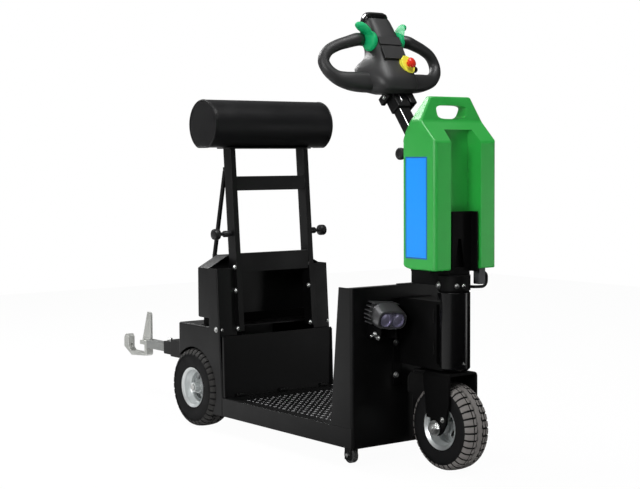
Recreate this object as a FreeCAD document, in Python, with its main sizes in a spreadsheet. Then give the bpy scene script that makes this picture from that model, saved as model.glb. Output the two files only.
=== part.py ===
import FreeCAD, Part
import os
import re
import Sketcher

# Stand-on electric tow tractor: two driven rear wheels under a lean-back frame, a step-through
# floor, and one steered front wheel that turns with its battery and tiller.
# Lengths are in millimetres. Inside this file x is counted from the front axle, forward
# positive; steer_x then carries every piece to the vehicle's own origin on the ground.

SIZES = {
    # whole vehicle
    "steer_x": 897.5, "half_width": 232, "sheet": 4, "floor_top": 120, "sill_low": 59,
    "wheelbase": 1050, "trail": 16,
    # floor and front panel
    "panel_x": -172, "panel_top": 537, "return_top": 63, "return_low": 105, "lip": 24,
    "beam_half": 50, "beam_low": 80, "bend": 12,
    # rear posts, riser and wheel box
    "riser_x": -872, "riser_top": 326, "seam_x": -950, "post_top": 551, "post_front": -901,
    "tail_x": -1146, "deck_top": 353, "deck_front": -921, "arch": 140, "box_low": 110,
    "well": 146,
    # upper rear housing
    "housing_back": -1020, "housing_low": 381, "shoulder_low": 550, "shoulder_top": 590,
    "shoulder_half": 155, "apron_half": 205, "apron_low": 361, "soft": 6,
    # lean-back frame
    "tube_deep": 45, "tube_wide": 20, "tube_wall": 2.5, "upright_half": 161.6, "rake": 4.5,
    "foot_z": 340, "foot_x": -868, "upright_top": 952,
    "bar_low": 811, "bar_top": 859, "bar_back": -930, "bar_front": -908,
    "plate_low": 537, "plate_top": 600, "plate_back": -908, "plate_front": -888,
    "roll_x": -961, "roll_z": 1033, "roll_r": 83, "roll_long": 498,
    "brace_r": 7.5, "brace_y": -152, "brace_top_x": -966, "brace_top_z": 878,
    "brace_low_x": -1035, "brace_low_z": 586,
    "plunger_x": -918, "plunger_z": 666, "knob_r": 18.5,
    # rear wheels and transaxle
    "rear_r": 135, "rear_y": 197, "tyre_half": 44, "rim_r": 67, "shaft_r": 10, "running": 0.05,
    "axle_half": 120,
    # front wheel, fork and steering head
    "front_r": 130, "front_rim_r": 65, "crown_low": 285, "crown_top": 293, "fork_half": 57,
    "fork_plate": 8, "fork_back": -56, "fork_front": 56, "leg_low": 157, "boss_low": 108,
    "axle_r": 10, "nut_half": 16, "nut_thick": 9, "stem_r": 20, "head_r": 48,
    "head_low": 299, "head_top": 527, "collar_r": 48.5, "collar_low": 533, "collar_top": 578,
    "guard_x": -141, "guard_half": 42, "guard_neck": 24, "guard_low": 75, "guard_step": 208,
    "guard_top": 280, "bracket_half": 46, "bracket_top": 500, "wing": 76,
    # anti-tip rollers
    "roller_r": 24, "roller_x": -200, "roller_y": 214, "roller_z": 38, "roller_half": 9,
    "roller_pin": 4,
    # column, battery and its bracket
    "arm_back": -140, "arm_half": 30, "arm_low": 545, "arm_top": 588, "pivot_x": -118,
    "pivot_z": 931, "pin_r": 8, "battery_back": -76, "battery_front": 68, "battery_half": 119,
    "battery_low": 596, "battery_shoulder": 965, "battery_neck": 1023, "battery_top": 1096,
    "recess_half": 60, "recess_deep": 51, "recess_top": 995,
    "lead_y": 90, "lead_r": 4.5,
    # tiller
    "lean": 37.5, "stem_half": 20, "stem_deep": 30, "loop_a": 226, "loop_b": 74, "loop_r": 19,
    "loop_x": -322, "loop_z": 1206, "loop_lean": 15, "stop_x": -243, "stop_y": 35, "stop_z": 1200,
    "stop_tilt": 23, "lamp_x": -97, "lamp_y": -140, "tongue_top": 763,
    # hitch
    "hitch_z": 197, "bar_half": 16, "socket_back": -1600, "bar_end": -1745, "hook_end": -1925,
    "hook_low": 140, "hook_half": 14,
}

doc = FreeCAD.newDocument("TowTractor")
dims = doc.addObject("Spreadsheet::Sheet", "Dims")
for row, (word, value) in enumerate(SIZES.items(), 1):
    dims.set(f"A{row}", word)
    dims.set(f"B{row}", str(value))
    dims.setAlias(f"B{row}", word)
doc.recompute()

sub_parts = []
SIDES = (("right", "-1"), ("left", "1"))


def sized(text):
    """Put the sheet's name in front of each of its words in an expression."""
    return re.sub(r"[a-z]\w*", lambda hit: f"Dims.{hit[0]}" if hit[0] in SIZES else hit[0],
                  str(text))


def bind(thing, prop, text):
    thing.setExpression(prop, sized(text))


def box(x, y, z):
    """A box between two values on each axis, given as (low, high) pairs."""
    solid = doc.addObject("Part::Box", "Box")
    bind(solid, "Length", f"({x[1]}) - ({x[0]})")
    bind(solid, "Width", f"({y[1]}) - ({y[0]})")
    bind(solid, "Height", f"({z[1]}) - ({z[0]})")
    bind(solid, "Placement.Base.x", f"steer_x + ({x[0]})")
    bind(solid, "Placement.Base.y", y[0])
    bind(solid, "Placement.Base.z", z[0])
    return solid


TURNS = {"X": FreeCAD.Rotation(FreeCAD.Vector(0, 1, 0), 90),
         "Y": FreeCAD.Rotation(FreeCAD.Vector(1, 0, 0), -90),
         "Z": FreeCAD.Rotation()}


def rod(along, x, y, z, radius, length):
    """A cylinder that starts at x, y, z and runs in the positive direction of one axis."""
    solid = doc.addObject("Part::Cylinder", "Cylinder")
    solid.Placement = FreeCAD.Placement(FreeCAD.Vector(), TURNS[along])
    bind(solid, "Radius", radius)
    bind(solid, "Height", length)
    bind(solid, "Placement.Base.x", f"steer_x + ({x})")
    bind(solid, "Placement.Base.y", y)
    bind(solid, "Placement.Base.z", z)
    return solid


def fuse(*solids):
    whole = doc.addObject("Part::MultiFuse", "Fusion")
    whole.Shapes = list(solids)
    whole.Refine = True
    return whole


def cut(base, *tools):
    left = doc.addObject("Part::Cut", "Cut")
    left.Base = base
    left.Tool = tools[0] if len(tools) == 1 else fuse(*tools)
    left.Refine = True
    return left


def outline(body, plane, corners, offset):
    """A closed sketch on one of the body's own planes, each corner held by two lengths."""
    sketch = body.newObject("Sketcher::SketchObject", "Outline")
    base = [f for f in body.Origin.OriginFeatures if f.Role == f"{plane}_Plane"]
    sketch.AttachmentSupport = [(base[0], "")]
    sketch.MapMode = "FlatFace"
    bind(sketch, "AttachmentOffset.Base.z", offset)
    count = len(corners)
    ring = [FreeCAD.Vector(100, 0, 0)]
    for step in range(1, count):
        turn = FreeCAD.Rotation(FreeCAD.Vector(0, 0, 1), 360.0 * step / count)
        ring.append(turn.multVec(ring[0]))
    for step in range(count):
        sketch.addGeometry(Part.LineSegment(ring[step], ring[(step + 1) % count]))
    for step in range(count):
        sketch.addConstraint(Sketcher.Constraint("Coincident", step, 2, (step + 1) % count, 1))
    for step, (across, up) in enumerate(corners):
        for kind, length in (("DistanceX", across), ("DistanceY", up)):
            index = sketch.addConstraint(Sketcher.Constraint(kind, -1, 1, step, 1, 50.0))
            bind(sketch, f"Constraints[{index}]", length)
    return sketch


def new_body(x="0", y="0", z="0"):
    body = doc.addObject("PartDesign::Body", "Body")
    bind(body, "Placement.Base.x", f"steer_x + ({x})")
    bind(body, "Placement.Base.y", y)
    bind(body, "Placement.Base.z", z)
    return body


def slab(plane, corners, low, high):
    """A sheet or block: an outline padded between two values of the third axis."""
    body = new_body()
    offset = f"-({high})" if plane == "XZ" else low
    sketch = outline(body, plane, corners, offset)
    pad = body.newObject("PartDesign::Pad", "Pad")
    pad.Profile = sketch
    bind(pad, "Length", f"({high}) - ({low})")
    return body


def turned(plane, corners, x="0", y="0", z="0"):
    """A solid turned about the outline's second axis: Y for plane XY, Z for plane XZ."""
    body = new_body(x, y, z)
    sketch = outline(body, plane, corners, "0")
    turn = body.newObject("PartDesign::Revolution", "Revolution")
    turn.Profile = sketch
    turn.ReferenceAxis = (sketch, ["V_Axis"])
    turn.Angle = 360
    return body


def rounded(solid, radius, chosen):
    """Round the edges whose two ends pass the test; ends are counted from the front axle."""
    doc.recompute()
    origin = FreeCAD.Vector(SIZES["steer_x"], 0, 0)
    edges = []
    for index, edge in enumerate(solid.Shape.Edges, 1):
        ends = [vertex.Point - origin for vertex in edge.Vertexes]
        if len(ends) == 2 and chosen(*ends):
            edges.append((index, radius, radius))
    fillet = doc.addObject("Part::Fillet", "Rounding")
    fillet.Base = solid
    fillet.Edges = edges
    return fillet


def upright_edge(x):
    """A test for the vertical edges at one x."""
    return lambda a, b: abs(a.z - b.z) > 1 and max(abs(a.x - x), abs(b.x - x)) < 0.5


def sub_part(name, solid):
    solid.Label = name
    sub_parts.append(solid)
    return solid


# Floor: a folded steel pan whose side flanges are the sills, on one central beam.
def build_floor():
    top = box(("riser_x", "panel_x - sheet"), ("-half_width", "half_width"),
              ("floor_top - sheet", "floor_top"))
    sills = [box(("riser_x", "panel_x - sheet"), span, ("sill_low", "floor_top - sheet"))
             for span in (("-half_width", "sheet - half_width"),
                          ("half_width - sheet", "half_width"))]
    beam = box(("riser_x", "panel_x - sheet"), ("-beam_half", "beam_half"),
               ("beam_low", "floor_top - sheet"))
    sub_part("floor_pan", fuse(top, *sills, beam))


# Front panel: one sheet folded back at both sides and along its top edge, with a stop plate.
def build_front_panel():
    outer = rounded(box(("panel_x - return_low", "panel_x"), ("-half_width", "half_width"),
                        ("sill_low", "panel_top")), SIZES["bend"], upright_edge(SIZES["panel_x"]))
    inside_x = SIZES["panel_x"] - SIZES["sheet"]
    inner = rounded(box(("panel_x - return_low - 1", "panel_x - sheet"),
                        ("sheet - half_width", "half_width - sheet"),
                        ("sill_low - 1", "panel_top - sheet")),
                    SIZES["bend"] - SIZES["sheet"], upright_edge(inside_x))
    open_top = box(("panel_x - return_low - 1", "panel_x - sheet - lip"),
                   ("sheet - half_width", "half_width - sheet"),
                   ("panel_top - sheet - 1", "panel_top + 1"))
    slope = slab("XZ", [("panel_x - return_low - 1", "floor_top"),
                        ("panel_x - return_low", "floor_top"),
                        ("panel_x - return_top", "panel_top + 1"),
                        ("panel_x - return_low - 1", "panel_top + 1")],
                 "-half_width - 1", "half_width + 1")
    below = box(("panel_x - return_low - 1", "panel_x - sheet"),
                ("-half_width - 1", "half_width + 1"), ("sill_low - 1", "floor_top"))
    stop = box(("panel_x - lip", "panel_x - 4"), ("-42", "30"), ("panel_top", "panel_top + 3"))
    sub_part("front_panel", fuse(cut(outer, inner, open_top, slope, below), stop))


# Rear posts: a web beside the riser, cut round behind for the wheel, folded in to the frame.
def front_line(shift, low):
    """The raked front edge of a post, moved back by shift, from height low to its top."""
    lean = "(riser_x - post_front) / (post_top - floor_top)"
    return [(f"riser_x - {shift} - ({low} - floor_top) * {lean}", low),
            (f"post_front - {shift}", "post_top")]


def build_posts():
    block = slab("XZ", [("seam_x", "sill_low"), ("riser_x", "sill_low"),
                        *front_line("0", "floor_top"), ("seam_x", "post_top")],
                 "-half_width", "half_width")
    block = rounded(block, SIZES["soft"],
                    lambda a, b: min(a.x, b.x) > SIZES["seam_x"] + 1 and abs(a.z - b.z) > 1)
    span = ("sheet - half_width", "half_width - sheet")
    behind = slab("XZ", [("seam_x - 1", "riser_top"), *front_line("sheet", "riser_top"),
                         ("seam_x - 1", "post_top")], *span)
    under = box(("seam_x - 1", "riser_x + 1"), span, ("sill_low - 1", "riser_top"))
    middle = box(("seam_x - 1", "riser_x + 1"), ("-upright_half", "upright_half"),
                 ("sill_low - 1", "post_top + 1"))
    hole = rod("Y", "-wheelbase", "-half_width - 1", "rear_r", "arch", "2 * half_width + 2")
    sub_part("rear_posts", cut(block, behind, under, middle, hole))


# Riser: the upright plate behind the driver's feet.
def build_riser():
    riser = box(("riser_x - sheet", "riser_x"), ("sheet - half_width", "half_width - sheet"),
                ("floor_top - sheet", "riser_top"))
    foot = box(("riser_x - 40", "riser_x - sheet"),
               ("sheet - half_width", "half_width - sheet"),
               ("floor_top - sheet", "floor_top"))
    sub_part("riser_plate", fuse(riser, foot))


# Wheel box: the deck and sides that cover the rear wheels, with a round arch each side.
def build_rear_box():
    outer = rounded(box(("tail_x", "seam_x"), ("-half_width", "half_width"),
                        ("box_low", "deck_top")), SIZES["soft"],
                    lambda a, b: min(a.z, b.z) > SIZES["deck_top"] - 1
                    and min(a.x, b.x) < SIZES["tail_x"] + 1
                    or upright_edge(SIZES["tail_x"])(a, b))
    shell = cut(outer,
                box(("tail_x + sheet", "seam_x + 1"),
                    ("sheet - half_width", "half_width - sheet"),
                    ("box_low - 1", "deck_top - sheet")),
                rod("Y", "-wheelbase", "-half_width - 1", "rear_r", "arch",
                    "2 * half_width + 2"))
    deck = box(("seam_x", "deck_front"), ("sheet - half_width", "half_width - sheet"),
               ("deck_top - sheet", "deck_top"))
    back = box(("tail_x", "tail_x + sheet"), ("-well", "well"), ("box_low", "deck_top - 12"))
    sub_part("rear_box", fuse(shell, deck, back))


# Rear housing: a hood with sloped shoulders behind the driver's legs, open to the front.
def hood(inset, back, front, low):
    return slab("YZ", [(f"{inset} - half_width", low),
                       (f"half_width - {inset}", low),
                       (f"half_width - {inset}", "shoulder_low"),
                       ("shoulder_half", f"shoulder_top - {inset}"),
                       ("-shoulder_half", f"shoulder_top - {inset}"),
                       (f"{inset} - half_width", "shoulder_low")], back, front)


def build_rear_housing():
    outer = rounded(hood("0", "housing_back", "seam_x", "housing_low"), SIZES["soft"],
                    lambda a, b: min(a.x, b.x) < SIZES["seam_x"] - 1)
    inner = hood("sheet", "housing_back + sheet", "seam_x + 1", "housing_low - 1")
    apron = box(("housing_back", "housing_back + sheet"), ("-apron_half", "apron_half"),
                ("apron_low", "housing_low + 10"))
    sub_part("rear_housing", fuse(cut(outer, inner), apron))


# Lean-back frame: two raked rectangular tubes, a crossbar, a lower plate and the roll.
def raked_tube(inset, low_y):
    tube = doc.addObject("Part::Box", "Tube")
    bind(tube, "Length", f"tube_deep - 2 * {inset}")
    bind(tube, "Width", f"tube_wide - 2 * {inset}")
    bind(tube, "Height", "700")
    tube.Placement = FreeCAD.Placement(FreeCAD.Vector(),
                                       FreeCAD.Rotation(FreeCAD.Vector(0, 1, 0), 1))
    bind(tube, "Placement.Rotation.Angle", "-rake")
    bind(tube, "Placement.Base.x", f"steer_x + foot_x - (tube_deep - {inset}) * cos(rake)")
    bind(tube, "Placement.Base.y", f"{low_y} + {inset}")
    bind(tube, "Placement.Base.z", f"foot_z - (tube_deep - {inset}) * sin(rake)")
    return tube


def build_uprights():
    tubes = []
    for low_y in ("-upright_half", "upright_half - tube_wide"):
        walls = cut(raked_tube("0", low_y), raked_tube("tube_wall", low_y))
        limits = box(("foot_x - 130", "foot_x + 10"), (f"{low_y} - 5", f"{low_y} + tube_wide + 5"),
                     ("foot_z", "upright_top"))
        trimmed = doc.addObject("Part::MultiCommon", "Common")
        trimmed.Shapes = [walls, limits]
        tubes.append(trimmed)
    sub_part("uprights", fuse(*tubes))


def build_cross_members():
    inner = "upright_half - tube_wide"
    upper = box(("bar_back", "bar_front"), (f"-({inner})", inner), ("bar_low", "bar_top"))
    lower = box(("plate_back", "plate_front"), (f"-({inner})", inner),
                ("plate_low", "plate_top"))
    sub_part("cross_members", fuse(upper, lower))
    sub_part("roll_plate", box(("roll_x - 26", "roll_x + 52"), ("-170", "170"),
                               ("upright_top", "upright_top + sheet")))


def build_back_roll():
    roll = rod("Y", "roll_x", "-roll_long / 2", "roll_z", "roll_r", "roll_long")
    flat = box(("roll_x - roll_r", "roll_x + roll_r"), ("-roll_long", "roll_long"),
               ("roll_z - roll_r - 10", "upright_top + sheet"))
    sub_part("back_roll", cut(roll, flat))


def build_brace():
    run_x = "brace_low_x - brace_top_x"
    run_z = "brace_top_z - brace_low_z"
    bar = doc.addObject("Part::Cylinder", "Brace")
    bar.Placement = FreeCAD.Placement(FreeCAD.Vector(),
                                      FreeCAD.Rotation(FreeCAD.Vector(0, 1, 0), 1))
    bind(bar, "Radius", "brace_r")
    bind(bar, "Height", f"sqrt(({run_x})^2 + ({run_z})^2)")
    bind(bar, "Placement.Rotation.Angle", f"atan(-({run_x}) / ({run_z}))")
    bind(bar, "Placement.Base.x", "steer_x + brace_low_x")
    bind(bar, "Placement.Base.y", "brace_y")
    bind(bar, "Placement.Base.z", "brace_low_z")
    upper = box(("brace_top_x - 6", "brace_top_x + 9"), ("brace_y - 4", "brace_y + 4"),
                ("brace_top_z - 14", "brace_top_z + 12"))
    lower = box(("brace_low_x - 8", "housing_back"), ("brace_y - 4", "brace_y + 4"),
                ("brace_low_z - 26", "brace_low_z + 4"))
    sub_part("back_brace", fuse(bar, upper, lower))


# Spring plungers: pull knobs on the outer faces of the uprights.
def build_plungers():
    stages = [("0", "13", "8"), ("13", "31", "11"), ("31", "49", "7"), ("49", "72", "knob_r")]
    solids = []
    for start, end, radius in stages:
        for low in (f"upright_half + {start}", f"-upright_half - {end}"):
            solids.append(rod("Y", "plunger_x", low, "plunger_z", radius, f"{end} - {start}"))
    sub_part("plungers", fuse(*solids))


# Transaxle: motor, gearbox and axle tube as one plain block with a bearing at each end.
def build_transaxle():
    block = box(("-wheelbase - 70", "-wheelbase + 70"), ("-axle_half", "axle_half"),
                ("rear_r - 55", "rear_r + 65"))
    mount = box(("-wheelbase - 60", "-wheelbase + 60"), ("-60", "60"),
                ("rear_r + 65", "deck_top - sheet"))
    bearing = rod("Y", "-wheelbase", "-axle_half - 1", "rear_r", "shaft_r + running",
                  "2 * axle_half + 2")
    sub_part("transaxle", cut(fuse(block, mount), bearing))


def tyre_outline(radius, bead):
    return [(bead, "-tyre_half + 8"), (f"{bead} + 8", "-tyre_half + 2"),
            (f"{radius} - 30", "-tyre_half"), (f"{radius} - 14", "-tyre_half + 1"),
            (f"{radius} - 5", "-tyre_half + 8"), (f"{radius} - 1", "-tyre_half + 20"),
            (radius, "0"),
            (f"{radius} - 1", "tyre_half - 20"), (f"{radius} - 5", "tyre_half - 8"),
            (f"{radius} - 14", "tyre_half - 1"), (f"{radius} - 30", "tyre_half"),
            (f"{bead} + 8", "tyre_half - 2"), (bead, "tyre_half - 8")]


def rim_outline(bead, bore):
    """Half section of a pressed rim with a hub tube; the outline starts at the bore."""
    return [(bore, "-tyre_half + 6"), (f"{bore} + 12", "-tyre_half + 6"),
            (f"{bore} + 12", "-14"), (f"{bead} - 12", "-10"), (f"{bead} - 8", "-tyre_half + 8"),
            (bead, "-tyre_half + 8"), (bead, "tyre_half - 8"), (f"{bead} - 8", "tyre_half - 8"),
            (f"{bead} - 12", "-4"), (f"{bore} + 12", "-4"), (f"{bore} + 12", "tyre_half - 6"),
            (bore, "tyre_half - 6")]


def build_rear_wheels():
    for side, sign in SIDES:
        place = ("-wheelbase", f"{sign} * rear_y", "rear_r")
        sub_part(f"{side}_tyre", turned("XY", tyre_outline("rear_r", "rim_r - 5"), *place))
        sub_part(f"{side}_rim", turned("XY", rim_outline("rim_r - 5", "shaft_r"), *place))
        start = "axle_half - 60" if sign == "1" else "-rear_y - 42"
        sub_part(f"{side}_half_shaft",
                 rod("Y", "-wheelbase", start, "rear_r", "shaft_r",
                     "rear_y + 42 - axle_half + 60"))


# Front wheel in its fork, with the mudguard and the axle's end blocks.
def build_front_wheel():
    place = ("0", "0", "front_r")
    sub_part("front_tyre", turned("XY", tyre_outline("front_r", "front_rim_r - 5"), *place))
    sub_part("front_rim", turned("XY", rim_outline("front_rim_r - 5", "axle_r + running"),
                                 *place))


def build_fork():
    crown = rounded(box(("fork_back", "fork_front"), ("-fork_half", "fork_half"),
                        ("crown_low - 20", "crown_top")), 14,
                    lambda a, b: abs(a.x - b.x) > 1 and min(a.z, b.z) > SIZES["crown_top"] - 1)
    crown = cut(crown, box(("fork_back - 1", "fork_front + 1"),
                           ("fork_plate - fork_half", "fork_half - fork_plate"),
                           ("crown_low - 21", "crown_low")))
    legs = []
    for low, high in (("-fork_half", "fork_plate - fork_half"),
                      ("fork_half - fork_plate", "fork_half")):
        legs.append(slab("XZ", [("fork_back", "crown_low - 20"), ("fork_back + 2", "250"),
                                ("-40", "leg_low"), ("-24", "leg_low"), ("-22", "116"),
                                ("-12", "boss_low"), ("12", "boss_low"), ("26", "118"),
                                ("43", "145"), ("45", "165"), ("fork_front", "205"),
                                ("fork_front", "crown_low - 20")], low, high))
    shaft = rod("Z", "trail", "0", "crown_top", "stem_r", "collar_top - crown_top")
    bore = rod("Y", "0", "-fork_half - 1", "front_r", "axle_r", "2 * fork_half + 2")
    sub_part("fork", cut(fuse(crown, *legs, shaft), bore))


def build_front_axle():
    pin = rod("Y", "0", "-fork_half - 14", "front_r", "axle_r", "2 * fork_half + 28")
    nuts = []
    for low, high in (("-fork_half - nut_thick", "-fork_half"),
                      ("fork_half", "fork_half + nut_thick")):
        flat = "nut_half"
        corner = "nut_half / cos(30)"
        nuts.append(slab("XZ", [(f"{corner} / 2", f"front_r - {flat}"),
                                (corner, "front_r"), (f"{corner} / 2", f"front_r + {flat}"),
                                (f"-{corner} / 2", f"front_r + {flat}"),
                                (f"-{corner}", "front_r"),
                                (f"-{corner} / 2", f"front_r - {flat}")], low, high))
    sub_part("front_axle", fuse(pin, *nuts))


def build_mudguard():
    flap = slab("YZ", [("-guard_neck", "guard_low"), ("guard_neck", "guard_low"),
                       ("guard_neck", "guard_step"), ("guard_half", "guard_step + 10"),
                       ("guard_half", "guard_top - 16"), ("guard_half - 14", "guard_top - 3"),
                       ("14", "guard_top"), ("-14", "guard_top"),
                       ("14 - guard_half", "guard_top - 3"), ("-guard_half", "guard_top - 16"),
                       ("-guard_half", "guard_step + 10"), ("-guard_neck", "guard_step")],
                "guard_x - 3", "guard_x")
    strap = box(("guard_x", "-40"), ("-22", "22"), ("crown_low - 4", "crown_low"))
    hanger = box(("guard_x", "guard_x + 4"), ("-22", "22"), ("crown_low - 12", "crown_low - 4"))
    sub_part("mudguard", fuse(flap, strap, hanger))


# Steering head: a tube with a bearing ring at each end, held off the panel by a box bracket.
def build_steering_head():
    sub_part("head_tube", turned("XZ", [("stem_r + running", "head_low"),
                                        ("head_r - 5", "head_low"), ("head_r", "head_low + 6"),
                                        ("head_r", "head_top"),
                                        ("stem_r + running", "head_top"),
                                        ("stem_r + running", "head_top - 22"),
                                        ("head_r - sheet", "head_top - 22"),
                                        ("head_r - sheet", "head_low + 22"),
                                        ("stem_r + running", "head_low + 22")], x="trail"))
    tube = rod("Z", "trail", "0", "head_low - 1", "head_r", "head_top - head_low")
    side = [("panel_x", "head_low + 4"), ("-34", "head_low"), ("trail + 9", "head_low"),
            ("trail - 21", "head_low + 21"), ("trail - 21", "bracket_top - 8"),
            ("panel_x", "bracket_top - 8")]
    walls = [slab("XZ", side, "-bracket_half - 3", "-bracket_half + 3"),
             slab("XZ", side, "bracket_half - 3", "bracket_half + 3")]
    lid = box(("panel_x", "trail"), ("-bracket_half - 3", "bracket_half + 3"),
              ("bracket_top - 8", "bracket_top"))
    floor = box(("panel_x", "-20"), ("3 - bracket_half", "bracket_half - 3"),
                ("head_low + 4", "head_low + 8"))
    flanges = [box(("panel_x", "panel_x + sheet"), span, ("234", "bracket_top"))
               for span in (("-wing", "3 - bracket_half"), ("bracket_half - 3", "wing"))]
    sub_part("head_bracket", fuse(cut(fuse(*walls, lid, floor), tube), *flanges))


# Anti-tip rollers: a small wheel on a hanging fork under each front corner.
def build_rollers():
    hangers = []
    for side, sign in SIDES:
        middle = f"{sign} * roller_y"
        hangers += [box(("roller_x - 15", "roller_x + 15"),
                        (f"{middle} + {start}", f"{middle} + {start} + 3"),
                        ("roller_z - 14", "floor_top - sheet - 10"))
                    for start in ("roller_half + 2", "-roller_half - 5")]
        hangers.append(box(("roller_x - 20", "roller_x + 20"),
                           (f"{middle} - roller_half - 5", f"{middle} + roller_half + 5"),
                           ("floor_top - sheet - 10", "floor_top - sheet")))
        hangers.append(rod("Y", "roller_x", f"{middle} - roller_half - 5", "roller_z",
                           "roller_pin", "2 * roller_half + 10"))
        wheel = rod("Y", "roller_x", f"{middle} - roller_half", "roller_z", "roller_r",
                    "2 * roller_half")
        bore = rod("Y", "roller_x", f"{middle} - roller_half - 1", "roller_z",
                   "roller_pin + running", "2 * roller_half + 2")
        sub_part(f"{side}_roller", cut(wheel, bore))
    sub_part("roller_forks", fuse(*hangers))


# Headlight on the panel, to the right of the steering head.
def build_headlight():
    shell = slab("XZ", [("panel_x + 12", "426"), ("lamp_x - 24", "412"), ("lamp_x - 4.45", "416"),
                        ("lamp_x + 4.45", "472"), ("lamp_x - 28", "490"), ("panel_x + 14", "494")],
                 "lamp_y - 57", "lamp_y + 57")
    shell = rounded(shell, 14, lambda a, b: abs(a.y - b.y) < 0.1)
    foot = box(("panel_x", "panel_x + 20"), ("lamp_y - 28", "lamp_y + 28"), ("385", "430"))
    sub_part("headlight", fuse(shell, foot))
    sub_part("headlight_lens", slab("XZ", [("lamp_x - 3.5", "422"), ("lamp_x + 0.5", "421.4"),
                                           ("lamp_x + 7.5", "465.4"), ("lamp_x + 3.5", "466")],
                                    "lamp_y - 42", "lamp_y + 42"))


# Steering column: the collar clamped on the fork's stem, an arm back and a post behind the battery.
def build_column():
    ring = rod("Z", "trail", "0", "collar_low", "collar_r", "collar_top - collar_low")
    bore = rod("Z", "trail", "0", "collar_low - 1", "stem_r", "60")
    arm = box(("arm_back", "trail - 32"), ("-arm_half", "arm_half"), ("arm_low", "arm_top"))
    post = box(("arm_back", "arm_back + 44"), ("-24", "24"), ("arm_top", "pivot_z - 40"))
    cheeks = [box(("pivot_x - 22", "pivot_x + 22"), span, ("pivot_z - 40", "pivot_z + 24"))
              for span in (("-26", "-21"), ("21", "26"))]
    pin_hole = rod("Y", "pivot_x", "-30", "pivot_z", "pin_r", "60")
    sub_part("steering_column", cut(fuse(ring, arm, post, *cheeks), bore, pin_hole))


def build_battery_bracket():
    floor_x = "battery_front - recess_deep"
    tray = box(("battery_back + 6", floor_x), ("-92", "92"), ("battery_low - 8", "battery_low"))
    pad = box(("-15", f"{floor_x} + 24"), ("-40", "40"), ("collar_top", "battery_low - 8"))
    tongue = cut(box((f"{floor_x} + 4", f"{floor_x} + 24"), ("-46", "46"),
                     ("battery_low - 8", "tongue_top")),
                 slab("YZ", [("-20", "600"), ("20", "600"), ("5", "683"), ("-5", "683")],
                      f"{floor_x} + 14", f"{floor_x} + 30"))
    flanges = [box((f"{floor_x} + 4", "battery_front - 4"), span, ("battery_low - 8", "tongue_top"))
               for span in (("-50", "-46"), ("46", "50"))]
    sub_part("battery_bracket", fuse(tray, pad, tongue, *flanges))


def build_battery():
    case = slab("XZ", [("battery_back", "battery_low"), ("battery_front", "battery_low"),
                       ("battery_front", "battery_shoulder"), ("8", "battery_neck"),
                       ("-52", "battery_neck - 7"), ("battery_back", "battery_shoulder")],
                "-battery_half", "battery_half")
    grip = slab("YZ", [("8 - battery_half", "battery_neck - 30"),
                       ("battery_half - 8", "battery_neck - 30"),
                       ("battery_half", "battery_neck"), ("72", "battery_top"),
                       ("-72", "battery_top"), ("-battery_half", "battery_neck")],
                "-44", "2")
    hole = box(("-60", "20"), ("-58", "58"), ("battery_neck + 4", "battery_neck + 48"))
    recess = box(("battery_front - recess_deep", "battery_front + 1"),
                 ("-recess_half", "recess_half"), ("battery_low - 1", "recess_top"))
    sub_part("battery", cut(fuse(case, grip), hole, recess))


# Battery lead: a plug under the case and a cable looped from it to the tray.
def build_lead():
    sub_part("battery_connector", box(("28", "54"), ("66", "lead_y"), ("548", "battery_low")))
    corners = [(44, 90, 582), (44, 104, 582), (44, 104, 540), (44, 56, 540), (-60, 56, 540),
               (-60, 56, SIZES["battery_low"] - 8)]
    bends = [0, 14, 18, 26, 20, 0]
    points = [FreeCAD.Vector(x + SIZES["steer_x"], y, z) for x, y, z in corners]
    pieces = []
    for step in range(len(points) - 1):
        along = (points[step + 1] - points[step]).normalize()
        start = points[step] + along * bends[step]
        end = points[step + 1] - along * bends[step + 1]
        if (end - start).Length > 0.01:
            run = doc.addObject("Part::Cylinder", "Run")
            bind(run, "Radius", "lead_r")
            run.Height = (end - start).Length
            run.Placement = FreeCAD.Placement(start, FreeCAD.Rotation(
                FreeCAD.Vector(0, 0, 1), along))
            pieces.append(run)
        if bends[step + 1]:
            onward = (points[step + 2] - points[step + 1]).normalize()
            curve = doc.addObject("Part::Torus", "Bend")
            curve.Radius1 = bends[step + 1]
            bind(curve, "Radius2", "lead_r")
            curve.Angle3 = 90
            curve.Placement = FreeCAD.Placement(
                end + onward * bends[step + 1],
                FreeCAD.Rotation(onward * -1, along, along.cross(onward), "XYZ"))
            pieces.append(curve)
    sub_part("battery_cable", fuse(*pieces))


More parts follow.
